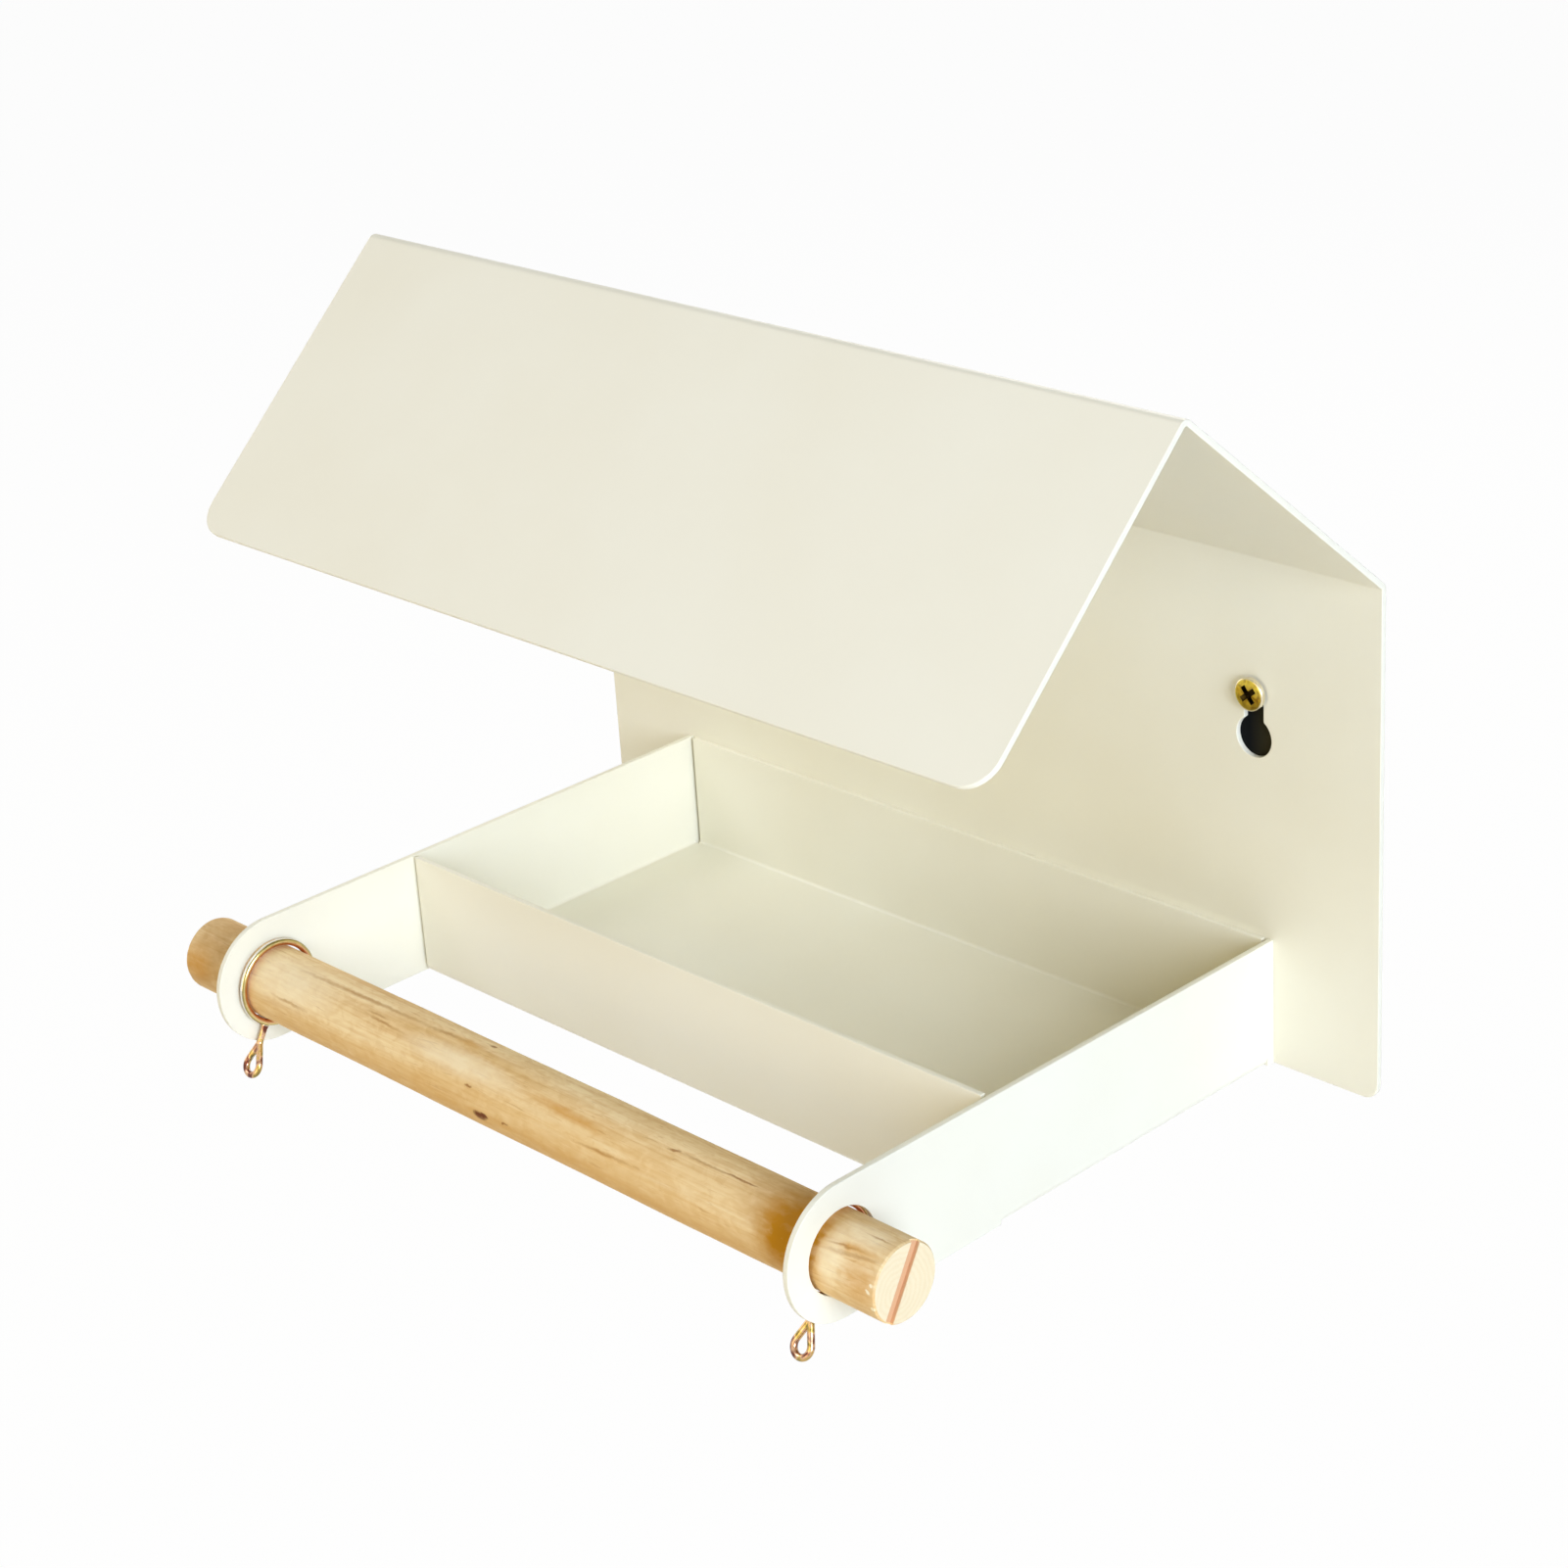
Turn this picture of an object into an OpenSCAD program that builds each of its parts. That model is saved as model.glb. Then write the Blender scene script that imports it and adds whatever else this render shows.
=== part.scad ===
// Wall-hung bird feeder: a back plate folded forward into a gabled roof, a folded tray whose side
// walls run on as two arms, a wooden perch through the arms, two wire rings with an eye on the
// perch, and two screws on which the keyholes of the plate hang.
// The origin lies on the wall, midway between the screws. +X is to the right seen from the front,
// +Y points into the wall and +Z is up.

/* [Sheet metal] */
// Thickness of the coated steel sheet
sheet_t = 1.5; // [1:0.1:2]
// Inside radius of every fold
fold_r = 0.8; // [0.6:0.1:1.5]

/* [Back plate] */
// Width of the back plate and of the roof that is folded from it
plate_w = 260; // [250:1:300]
// Height of the back plate, from its bottom edge to the corner below the rear slope
plate_h = 127; // [120:1:150]
// Radius of the bottom corners of the back plate
plate_corner_r = 4; // [2:0.5:10]

/* [Roof] */
// Length of the rear slope on its outside, from the back plate to the ridge
rear_len = 87; // [80:1:95]
// Rise of the rear slope above level, in degrees
rear_pitch = 40; // [30:1:50]
// Length of the front slope on its outside, from the ridge to the eave
front_len = 87; // [70:1:95]
// Fall of the front slope below level, in degrees
front_pitch = 43.5; // [30:0.5:50]
// Radius of the two corners of the eave
eave_corner_r = 8; // [2:0.5:20]

/* [Keyholes] */
// Distance from a side edge of the back plate to the axis of the keyhole beside it
keyhole_inset = 35.5; // [25:0.5:55]
// Height of the screws above the bottom edge of the back plate
hang_h = 93.5; // [80:0.5:105]
// Diameter of the wide end of a keyhole
keyhole_d = 10; // [8.8:0.1:11]
// Width of the slot of a keyhole
slot_w = 5.5; // [4.3:0.1:6]
// Drop from a hanging screw to the centre of the wide end below it
keyhole_drop = 11; // [9.5:0.5:14]

/* [Tray] */
// Outside width of the tray, over both arms
tray_w = 200; // [180:1:230]
// Outside depth of the tray, from the back plate to the face of its front wall
tray_d = 98; // [80:1:110]
// Outside height of the tray and of its arms
tray_h = 32.5; // [28:0.5:40]
// Open gap between an end of the front or back wall and the arm beside it
corner_gap = 1; // [0.5:0.1:2]

/* [Perch] */
// Distance from the front wall of the tray to the axis of the perch
perch_ahead = 46; // [35:1:60]
// Diameter of the perch
perch_d = 18.7; // [16:0.1:20]
// Length of the perch
perch_len = 241; // [230:1:260]
// How far the perch is pushed to the left in its holes
perch_shift = 2.5; // [0:0.5:5]
// Play between the perch and its hole in an arm, on the radius
hole_play = 0.65; // [0.3:0.05:1.5]
// Chamfer round both ends of the perch
perch_chamfer = 0.5; // [0.2:0.1:1.5]
// Width of the saw slot across the right end of the perch
kerf_w = 2.7; // [1:0.1:3]
// Depth of the saw slot
kerf_deep = 1; // [0.5:0.1:4]
// Lean of the saw slot from upright, in degrees
kerf_lean = 30; // [0:1:90]
// Distance of the saw slot in front of the middle of the perch
kerf_ahead = 0.9; // [0:0.1:3]

/* [Rings] */
// Diameter of the wire of a ring
wire_d = 1.7; // [1.4:0.1:2.4]
// Play between a ring and the perch, on the radius
ring_play = 0.2; // [0.1:0.05:0.5]
// Gap between a ring and the inner face of the arm beside it
ring_gap = 0.7; // [0.5:0.1:1.5]
// Length of the neck between a ring and its eye
neck_len = 4.6; // [4.3:0.1:8]
// Length of an eye, from the end of the neck to its rounded end
eye_len = 9.1; // [8:0.1:12]
// Outside width of an eye
eye_w = 6.5; // [5.5:0.1:8]
// How far a ring leans forward from hanging straight down, in degrees
ring_lean = 29; // [0:1:40]

/* [Screws] */
// Diameter of a screw right behind its head, where its neck starts and the plate hangs
screw_d = 4; // [3.5:0.1:4.2]
// How much the neck tapers, on the diameter, down to the crests of the thread
neck_taper = 0.1; // [0.1:0.05:0.3]
// How far the neck reaches into the wall
neck_deep = 0.3; // [0.1:0.1:0.4]
// Length of a screw under its head
screw_len = 30; // [20:1:50]
// Length of the point of a screw
point_len = 4; // [3:0.5:8]
// Diameter of the head of a screw
head_d = 8; // [7:0.1:8.4]
// Height of the rim of the head, below its dome
rim_h = 1; // [0.6:0.1:1.5]
// Height of the dome of the head above the rim
dome_h = 0.8; // [0.5:0.1:2]
// Width of one bar of the cross recess
recess_w = 1.1; // [0.6:0.1:1.3]
// Length of one bar of the cross recess
recess_len = 5.2; // [3:0.1:5.6]
// Depth of the cross recess
recess_deep = 1.2; // [0.6:0.1:1.4]
// Gap between the head of a screw and the front of the back plate
head_gap = 0.8; // [0.2:0.1:1.5]

/* [Hidden] */
$fn = 72;

cream = [0.93, 0.91, 0.84];
honey = [0.80, 0.62, 0.38];
gold = [0.83, 0.66, 0.32];
left = -1;
right = 1;
through = 1;                     // how far a cutting shape reaches past the faces that it cuts
seat = 0.05;                     // gap that is left where one piece rests in or on another
fold_steps = 8;                  // flats along the bend of a fold
run_share = 0.97;                // straight wire, as a share of wire_d, so that it ends inside a bend

outer_r = fold_r + sheet_t;      // outside radius of a fold
keyhole_x = plate_w / 2 - keyhole_inset;
floor_z = -hang_h;               // underside of the tray and bottom edge of the back plate
tray_back = -sheet_t;            // the tray lies against the front of the back plate
tray_front = tray_back - tray_d;
arm_z = floor_z + tray_h / 2;    // middle of the arms
arm_in = tray_w / 2 - sheet_t;   // inner face of an arm, from the middle of the tray
hole_r = perch_d / 2 + hole_play;
perch_y = tray_front - perch_ahead;
perch_z = arm_z - hole_play + seat;
ring_r = perch_d / 2 + ring_play + wire_d / 2;
ring_x = arm_in - ring_gap - wire_d / 2;

// How much of the outside length of a leg a fold takes at one end
function setback(turn) = outer_r * tan(turn / 2);

function ahead(heading) = [cos(heading), sin(heading)];
function leftward(heading) = [-sin(heading), cos(heading)];

// Points along a folded strip seen on its edge, on the line that lies deep inside its outer face.
// It starts at a point of the outer face with a heading, and each fold turns it to the left.
function strip_line(point, heading, legs, turns, deep, i = 0) =
    let (end = point + legs[i] * ahead(heading))
    i == len(turns)
        ? [end + deep * leftward(heading)]
        : let (middle = end + outer_r * leftward(heading), next = heading + turns[i])
            concat([for (step = [0:fold_steps])
                        middle - (outer_r - deep) * leftward(heading + turns[i] * step / fold_steps)],
                   strip_line(middle - outer_r * leftward(next), next, legs, turns, deep, i + 1));

// The same strip as a closed outline, down its outer face and back along its inner face
module folded_strip(start, heading, legs, turns) {
    outer = concat([start], strip_line(start, heading, legs, turns, 0));
    inner = concat([start + sheet_t * leftward(heading)],
                   strip_line(start, heading, legs, turns, sheet_t));
    polygon(concat(outer, [for (i = [len(inner) - 1:-1:0]) inner[i]]));
}

// Edge view of the plate and both slopes, with Y across and Z up
module plate_and_roof_profile() {
    foot_turn = 90 - rear_pitch;
    ridge_turn = rear_pitch + front_pitch;
    foot = setback(foot_turn);
    ridge = setback(ridge_turn);
    folded_strip([0, floor_z], 90, [plate_h - foot, rear_len - foot - ridge, front_len - ridge],
                 [foot_turn, ridge_turn]);
}

// Edge view of an open channel on its floor: down one wall, along the floor and up the other wall
module channel_profile(width, height) {
    corner = setback(90);
    folded_strip([-width / 2, height], -90, [height - corner, width - 2 * corner, height - corner],
                 [90, 90]);
}

// What is cut away outside a rounded corner at the origin, whose sheet lies towards -X and +Y
module corner_cut(r) {
    difference() {
        translate([-r, -through]) square([r + through, r + through]);
        translate([-r, r]) circle(r);
    }
}

module keyhole_cut() {
    slot_top = (slot_w - screw_d) / 2 - seat;
    rotate([90, 0, 0]) {
        translate([0, -slot_top, -through]) cylinder(d = slot_w, h = sheet_t + 2 * through);
        translate([-slot_w / 2, -keyhole_drop, -through])
            cube([slot_w, keyhole_drop - slot_top, sheet_t + 2 * through]);
        translate([0, -keyhole_drop, -through]) cylinder(d = keyhole_d, h = sheet_t + 2 * through);
    }
}

module back_and_roof() {
    ridge_y = -rear_len * cos(rear_pitch);
    ridge_z = floor_z + plate_h + rear_len * sin(rear_pitch);
    eave_y = ridge_y - front_len * cos(front_pitch);
    eave_z = ridge_z - front_len * sin(front_pitch);
    color(cream)
        difference() {
            rotate([90, 0, 90]) translate([0, 0, -plate_w / 2])
                linear_extrude(plate_w) plate_and_roof_profile();
            for (side = [left, right]) {
                translate([side * keyhole_x, 0, 0]) keyhole_cut();
                translate([side * plate_w / 2, through, floor_z]) rotate([90, 0, 0])
                    linear_extrude(sheet_t + 2 * through)
                        mirror([side < 0 ? 1 : 0, 0]) corner_cut(plate_corner_r);
                translate([side * plate_w / 2, eave_y, eave_z]) rotate([90 - front_pitch, 0, 0])
                    translate([0, 0, -sheet_t - through]) linear_extrude(sheet_t + 2 * through)
                        mirror([side < 0 ? 1 : 0, 0]) corner_cut(eave_corner_r);
            }
        }
}

// Side wall of the tray with its arm, seen from the right, with Y across and Z up. The foot of the
// wall is left out along the floor, where the fold takes its place.
module arm_outline() {
    difference() {
        union() {
            translate([perch_y, floor_z]) square([tray_back - perch_y, tray_h]);
            translate([perch_y, arm_z]) circle(tray_h / 2);
        }
        translate([perch_y, arm_z]) circle(hole_r);
        translate([tray_front + outer_r, floor_z - through])
            square([tray_d - 2 * outer_r, outer_r + through]);
    }
}

module tray() {
    wall_w = 2 * (arm_in - corner_gap);
    color(cream) {
        translate([0, tray_back - outer_r, floor_z]) rotate([90, 0, 0])
            linear_extrude(tray_d - 2 * outer_r) channel_profile(tray_w, tray_h);
        translate([0, (tray_back + tray_front) / 2, floor_z]) rotate([90, 0, 90])
            translate([0, 0, -wall_w / 2]) linear_extrude(wall_w) channel_profile(tray_d, tray_h);
        for (start = [-tray_w / 2, arm_in])
            translate([start, 0, 0]) rotate([90, 0, 90]) linear_extrude(sheet_t) arm_outline();
    }
}

module perch() {
    body = perch_len - 2 * perch_chamfer;
    end_d = perch_d - 2 * perch_chamfer;
    color(honey)
        translate([-perch_shift - perch_len / 2, perch_y, perch_z])
            difference() {
                rotate([0, 90, 0]) {
                    cylinder(d1 = end_d, d2 = perch_d, h = perch_chamfer);
                    translate([0, 0, perch_chamfer]) cylinder(d = perch_d, h = body);
                    translate([0, 0, perch_chamfer + body])
                        cylinder(d1 = perch_d, d2 = end_d, h = perch_chamfer);
                }
                translate([perch_len - kerf_deep, 0, 0]) rotate([-kerf_lean, 0, 0])
                    translate([0, -kerf_ahead - kerf_w / 2, -perch_d])
                        cube([kerf_deep + through, kerf_w, 2 * perch_d]);
            }
}

// The eye hangs from the end of the neck at the origin: two legs that spread to a round end
module eye() {
    bow_r = (eye_w - wire_d) / 2;
    bow_z = -(eye_len - eye_w / 2);
    spread = asin(bow_r / -bow_z);
    leg = -bow_z * cos(spread);
    lap = wire_d / 10;
    sphere(d = 1.1 * wire_d);
    for (side = [left, right])
        rotate([0, side * spread, 0]) translate([0, 0, -leg - lap])
            cylinder(d = run_share * wire_d, h = leg + lap);
    translate([0, 0, bow_z]) rotate([90, 0, 0]) rotate([0, 0, 180 - spread])
        rotate_extrude(angle = 180 + 2 * spread) translate([bow_r, 0]) circle(d = wire_d);
}

module ring(side) {
    eye_r = ring_r + wire_d / 2 + neck_len;
    color(gold)
        translate([side * ring_x, perch_y, perch_z]) rotate([-ring_lean, 0, 0]) {
            rotate([0, 90, 0]) rotate_extrude() translate([ring_r, 0]) circle(d = wire_d);
            translate([0, 0, -eye_r]) cylinder(d = run_share * wire_d, h = eye_r - ring_r);
            translate([0, 0, -eye_r]) eye();
        }
}

module ring_left() {
    ring(left);
}

module ring_right() {
    ring(right);
}

// A screw with its axis on Y: the head in front of the plate and the point in the wall
module screw(side) {
    head_back = sheet_t + head_gap;
    dome_r = (pow(head_d / 2, 2) + pow(dome_h, 2)) / (2 * dome_h);
    top = rim_h + dome_h;
    neck = head_back + neck_deep;
    thread_d = screw_d - neck_taper;
    color(gold)
        translate([side * keyhole_x, -head_back, 0]) rotate([90, 0, 0])
            difference() {
                union() {
                    cylinder(d = head_d, h = rim_h);
                    intersection() {
                        translate([0, 0, rim_h]) cylinder(d = head_d, h = dome_h);
                        translate([0, 0, top - dome_r]) sphere(dome_r);
                    }
                    translate([0, 0, -neck]) cylinder(d1 = thread_d, d2 = screw_d, h = neck);
                    translate([0, 0, point_len - screw_len])
                        cylinder(d = thread_d, h = screw_len - point_len - neck);
                    translate([0, 0, -screw_len]) cylinder(d1 = 0.2, d2 = thread_d, h = point_len);
                }
                for (turn = [45, 135])
                    rotate(turn) translate([-recess_len / 2, -recess_w / 2, top - recess_deep])
                        cube([recess_len, recess_w, recess_deep + through]);
            }
}

module screw_left() {
    screw(left);
}

module screw_right() {
    screw(right);
}

back_and_roof();
tray();
perch();
ring_left();
ring_right();
screw_left();
screw_right();
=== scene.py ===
from math import acos, asin, cos, hypot, pi, radians, sin, tan

import bmesh
import bpy
from mathutils import Matrix, Vector, noise


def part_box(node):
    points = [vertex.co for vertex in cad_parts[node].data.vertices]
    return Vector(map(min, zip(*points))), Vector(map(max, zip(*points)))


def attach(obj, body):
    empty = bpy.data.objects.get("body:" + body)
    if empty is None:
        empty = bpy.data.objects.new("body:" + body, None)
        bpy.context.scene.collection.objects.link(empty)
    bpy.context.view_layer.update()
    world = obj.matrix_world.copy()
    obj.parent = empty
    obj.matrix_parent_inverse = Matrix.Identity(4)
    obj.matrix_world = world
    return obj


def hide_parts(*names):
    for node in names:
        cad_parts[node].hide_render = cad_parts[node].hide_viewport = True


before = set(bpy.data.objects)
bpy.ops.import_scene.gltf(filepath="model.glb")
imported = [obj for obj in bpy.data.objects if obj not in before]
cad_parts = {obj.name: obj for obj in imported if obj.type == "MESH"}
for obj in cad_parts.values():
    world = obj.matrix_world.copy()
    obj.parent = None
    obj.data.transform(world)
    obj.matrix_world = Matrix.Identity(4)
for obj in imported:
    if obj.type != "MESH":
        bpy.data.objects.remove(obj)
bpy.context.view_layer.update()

# Back plate and roof
# One blank of 1.5 mm steel sheet, folded forward at the top of the plate and again at the ridge,
# then powder-coated cream. It hangs by two keyholes on two screws.

MM = 0.001
SHEET = 1.5 * MM
BEND = 0.8 * MM + SHEET           # outside radius of every fold
FOLD_STEPS = 12
PLATE_HIGH = 127 * MM
PLATE_CORNER = 4 * MM
SLOPE = 87 * MM
REAR_PITCH = radians(40)
FRONT_PITCH = radians(43.5)
EAVE_CORNER = 8 * MM
CORNER_STEPS = 8
EAVE_STEPS = 10
KEYHOLE_X = 94.5 * MM
KEYHOLE_DROP = 11 * MM            # from the hanging screw to the middle of the wide end
WIDE_END = 5 * MM                 # radius
WIDE_END_STEPS = 40
SLOT_HALF = 2.75 * MM
SLOT_TOP = -0.7 * MM              # centre of the arc that closes the slot
SLOT_STEPS = 16
SMOOTH_BELOW = radians(35)        # edges that bend less than this are shaded smooth
CLOSE = 0.01 * MM                 # points nearer than this lie in the same place


def shown(bm, name, material):
    """Turn a bmesh into an object of this material in the scene"""
    mesh = bpy.data.meshes.new(name)
    bm.to_mesh(mesh)
    bm.free()
    mesh.materials.append(material)
    made = bpy.data.objects.new(name, mesh)
    bpy.context.scene.collection.objects.link(made)
    return made


def solid_piece(bm, name, material, body, slot, *nodes):
    """Turn a bmesh into the piece that stands for these nodes and rides on a body"""
    for edge in bm.edges:
        edge.smooth = edge.calc_face_angle(0) < SMOOTH_BELOW
    for face in bm.faces:
        face.smooth = True
    piece = shown(bm, name, material)
    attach(piece, body)
    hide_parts(*nodes)
    return piece


def edges_of(found):
    """The edges among what an operator returns"""
    return [e for e in found if isinstance(e, bmesh.types.BMEdge)]


def verts_of(found):
    """The vertices among what an operator returns"""
    return [v for v in found if isinstance(v, bmesh.types.BMVert)]


def outline(bm, corners):
    """A closed loop of edges through these points"""
    ring = [bm.verts.new(c) for c in corners]
    return [bm.edges.new((a, b)) for a, b in zip(ring, ring[1:] + ring[:1])]


def fold(bm, edges, centre, axis, angle):
    """Roll the free edge of a sheet round a fold and return the new free edge"""
    turned = bmesh.ops.spin(bm, geom=edges + [v for e in edges for v in e.verts], cent=centre,
                            axis=axis, angle=angle, steps=FOLD_STEPS, use_duplicate=False)
    return edges_of(turned["geom_last"])


def run_on(bm, edges, step):
    """Carry the free edge of a sheet straight on by a step and return the new free edge"""
    grown = bmesh.ops.extrude_edge_only(bm, edges=edges)["geom"]
    bmesh.ops.translate(bm, verts=verts_of(grown), vec=step)
    return edges_of(grown)


def rounded(bm, verts, radius, segments):
    """Round corners of a flat sheet in its own plane"""
    bmesh.ops.bevel(bm, geom=verts, offset=radius, offset_type="OFFSET", segments=segments,
                    profile=0.5, affect="VERTICES", material=-1, clamp_overlap=False)


def keyhole(bm, x):
    """Edges of one keyhole: round the wide end, up the slot, over its top and down again"""
    half = acos(SLOT_HALF / WIDE_END)
    shoulder = -KEYHOLE_DROP + WIDE_END * sin(half)
    start = bm.verts.new((x + SLOT_HALF, 0, shoulder))
    bowl = bmesh.ops.spin(bm, geom=[start], cent=(x, 0, -KEYHOLE_DROP), axis=(0, 1, 0),
                          angle=pi + 2 * half, steps=WIDE_END_STEPS, use_duplicate=False)
    other = verts_of(bowl["geom_last"])[0]
    up = bmesh.ops.extrude_vert_indiv(bm, verts=[other])["verts"][0]
    up.co.z = SLOT_TOP
    cap = bmesh.ops.spin(bm, geom=[up], cent=(x, 0, SLOT_TOP), axis=(0, 1, 0), angle=pi,
                         steps=SLOT_STEPS, use_duplicate=False)
    bm.edges.new((verts_of(cap["geom_last"])[0], start))


low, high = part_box("back_and_roof")
foot_turn = pi / 2 - REAR_PITCH
ridge_turn = REAR_PITCH + FRONT_PITCH
foot = BEND * tan(foot_turn / 2)        # what a fold takes of the legs beside it
ridge = BEND * tan(ridge_turn / 2)
fold_z = low.z + PLATE_HIGH - foot

bm = bmesh.new()
outline(bm, [(low.x, 0, low.z), (high.x, 0, low.z), (high.x, 0, fold_z), (low.x, 0, fold_z)])
bmesh.ops.contextual_create(bm, geom=bm.edges[:])
rounded(bm, [v for v in bm.verts if v.co.z < 0], PLATE_CORNER, CORNER_STEPS)
bmesh.ops.delete(bm, geom=bm.faces[:], context="FACES_ONLY")
for x in (-KEYHOLE_X, KEYHOLE_X):
    keyhole(bm, x)
bmesh.ops.triangle_fill(bm, edges=bm.edges[:], use_beauty=True, use_dissolve=True,
                        normal=(0, 1, 0))
free = [e for e in bm.edges if all(abs(v.co.z - fold_z) < CLOSE for v in e.verts)]
free = fold(bm, free, (0, -BEND, fold_z), (1, 0, 0), foot_turn)
heading = Vector((0, -cos(REAR_PITCH), sin(REAR_PITCH)))
free = run_on(bm, free, heading * (SLOPE - foot - ridge))
inward = Vector((0, -sin(REAR_PITCH), -cos(REAR_PITCH)))
free = fold(bm, free, free[0].verts[0].co + inward * BEND, (1, 0, 0), ridge_turn)
heading = Vector((0, -cos(FRONT_PITCH), -sin(FRONT_PITCH)))
free = run_on(bm, free, heading * (SLOPE - ridge))
rounded(bm, list({v for e in free for v in e.verts}), EAVE_CORNER, EAVE_STEPS)
bmesh.ops.recalc_face_normals(bm, faces=bm.faces[:])
if max(bm.faces, key=lambda f: f.calc_center_median().y).normal.y < 0:
    bmesh.ops.reverse_faces(bm, faces=bm.faces[:])


def rgb(code):
    """An sRGB hex colour as the linear colour that a node takes"""
    parts = [int(code[i:i + 2], 16) / 255 for i in (1, 3, 5)]
    return (*[p / 12.92 if p <= 0.04045 else ((p + 0.055) / 1.055) ** 2.4 for p in parts], 1)


def add(tree, kind, inputs=(), stops=(), **settings):
    """Add a node. An input takes a value, a socket or the first output of another node."""
    node = tree.nodes.new("ShaderNode" + kind)
    for name, value in settings.items():
        setattr(node, name, value)
    for name, value in dict(inputs).items():
        if isinstance(value, bpy.types.Node):
            value = value.outputs[0]
        if isinstance(value, bpy.types.NodeSocket):
            tree.links.new(value, node.inputs[name])
        else:
            node.inputs[name].default_value = value
    if stops:
        elements = node.color_ramp.elements
        places = [elements[0], elements[1]] + [elements.new(0.5) for _ in stops[2:]]
        for element, (at, code) in zip(sorted(places, key=lambda e: e.position), stops):
            element.position = at
            element.color = rgb(code)
    return node


def new_material(name):
    """An empty material with its output, and its tree"""
    material = bpy.data.materials.new(name)
    material.use_nodes = True
    material.node_tree.nodes.clear()
    return material, material.node_tree


# Powder coat: a baked polyester film, satin and cream, with the faint orange peel of about 2 mm
# that such a film sets with, and slightly uneven in tone and gloss over a few centimetres
CLOUD = 45 * MM
PEEL = 2.2 * MM
PEEL_DEEP = 0.03 * MM
powder_coat, tree = new_material("cream_powder_coat")
place = add(tree, "TexCoord").outputs["Object"]
cloud = add(tree, "TexNoise", {"Vector": place, "Scale": 1 / CLOUD, "Detail": 2})
tone = add(tree, "ValToRGB", {"Fac": cloud}, [(0.3, "#EEEAD7"), (0.7, "#F1EEDD")])
gloss = add(tree, "MapRange", {"Value": cloud, "To Min": 0.40, "To Max": 0.46})
peel = add(tree, "TexNoise", {"Vector": place, "Scale": 1 / PEEL, "Detail": 0})
skin = add(tree, "Bump", {"Height": peel, "Strength": 0.1, "Distance": PEEL_DEEP})
coat = add(tree, "BsdfPrincipled", {"Base Color": tone, "Roughness": gloss, "Normal": skin})
add(tree, "OutputMaterial", {"Surface": coat})


SOFT_EDGE = 0.22 * MM             # how far the film rounds a cut edge
SOFT_EDGE_STEPS = 2
SHARP_ABOVE = radians(40)         # edges that bend more than this are cut edges


def sheet_metal(piece):
    """Give a folded surface its thickness, the film's soft edges and even shading"""
    wall = piece.modifiers.new("wall", "SOLIDIFY")
    wall.thickness = SHEET
    wall.offset = -1
    wall.use_even_offset = True
    soft = piece.modifiers.new("soft_edges", "BEVEL")
    soft.width = SOFT_EDGE
    soft.segments = SOFT_EDGE_STEPS
    soft.limit_method = "ANGLE"
    soft.angle_limit = SHARP_ABOVE
    soft.use_clamp_overlap = False
    flat = piece.modifiers.new("even_shading", "WEIGHTED_NORMAL")
    flat.keep_sharp = True


roof = solid_piece(bm, "folded_back_and_roof", powder_coat, "feeder", "powder_coat",
                   "back_and_roof")
sheet_metal(roof)

# Tray with arms
# One blank of the same sheet: a floor with four walls folded up. The side walls run on forward as
# arms with a round end and a hole for the perch, and the end walls stop 1 mm short of the arms.

CORNER_GAP = 1 * MM               # between an end wall and the arm beside it
ARM_HIGH = 32.5 * MM
TRAY_DEEP = 98 * MM
ARM_STEPS = 40
HOLE = 10 * MM                    # radius
HOLE_STEPS = 64
PERCH_Y = -145.5 * MM

low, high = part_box("tray")
arm_z = low.z + ARM_HIGH / 2
back_y = high.y
front_y = back_y - TRAY_DEEP
side_x = high.x
wall_x = side_x - SHEET - CORNER_GAP

bm = bmesh.new()
floor_x = side_x - BEND
floor_back = back_y - BEND
floor_front = front_y + BEND
corners = [(floor_x, floor_front), (floor_x, floor_back), (wall_x, floor_back),
           (-wall_x, floor_back), (-floor_x, floor_back), (-floor_x, floor_front),
           (-wall_x, floor_front), (wall_x, floor_front)]
floor = outline(bm, [(x, y, low.z) for x, y in corners])
bmesh.ops.contextual_create(bm, geom=floor)
leg = Vector((0, 0, ARM_HIGH - BEND))
for edge, y, turn in ((floor[2], floor_back, pi / 2), (floor[6], floor_front, -pi / 2)):
    run_on(bm, fold(bm, [edge], (0, y, low.z + BEND), (1, 0, 0), turn), leg)
for edge, x, turn in ((floor[0], floor_x, -pi / 2), (floor[4], -floor_x, pi / 2)):
    fold(bm, [edge], (x, 0, low.z + BEND), (0, 1, 0), turn)
    side = side_x if x > 0 else -side_x
    nose = bm.verts.new((side, PERCH_Y, low.z))
    round_end = bmesh.ops.spin(bm, geom=[nose], cent=(side, PERCH_Y, arm_z), axis=(1, 0, 0),
                               angle=-pi, steps=ARM_STEPS, use_duplicate=False)
    upper = verts_of(round_end["geom_last"])[0]
    rest = [bm.verts.new((side, y, z)) for y, z in (
        (back_y, low.z + ARM_HIGH), (back_y, low.z), (floor_back, low.z),
        (floor_back, low.z + BEND), (floor_front, low.z + BEND), (floor_front, low.z))]
    chain = [upper] + rest + [nose]
    for a, b in zip(chain, chain[1:]):
        bm.edges.new((a, b))
    bmesh.ops.create_circle(bm, cap_ends=False, radius=HOLE, segments=HOLE_STEPS,
                            matrix=Matrix.Translation((side, PERCH_Y, arm_z))
                            @ Matrix.Rotation(pi / 2, 4, "Y"))
    flat_edges = [e for e in bm.edges if not e.link_faces
                  and all(abs(v.co.x - side) < CLOSE for v in e.verts)]
    bmesh.ops.triangle_fill(bm, edges=flat_edges, use_beauty=True, use_dissolve=True,
                            normal=(1, 0, 0))
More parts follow.
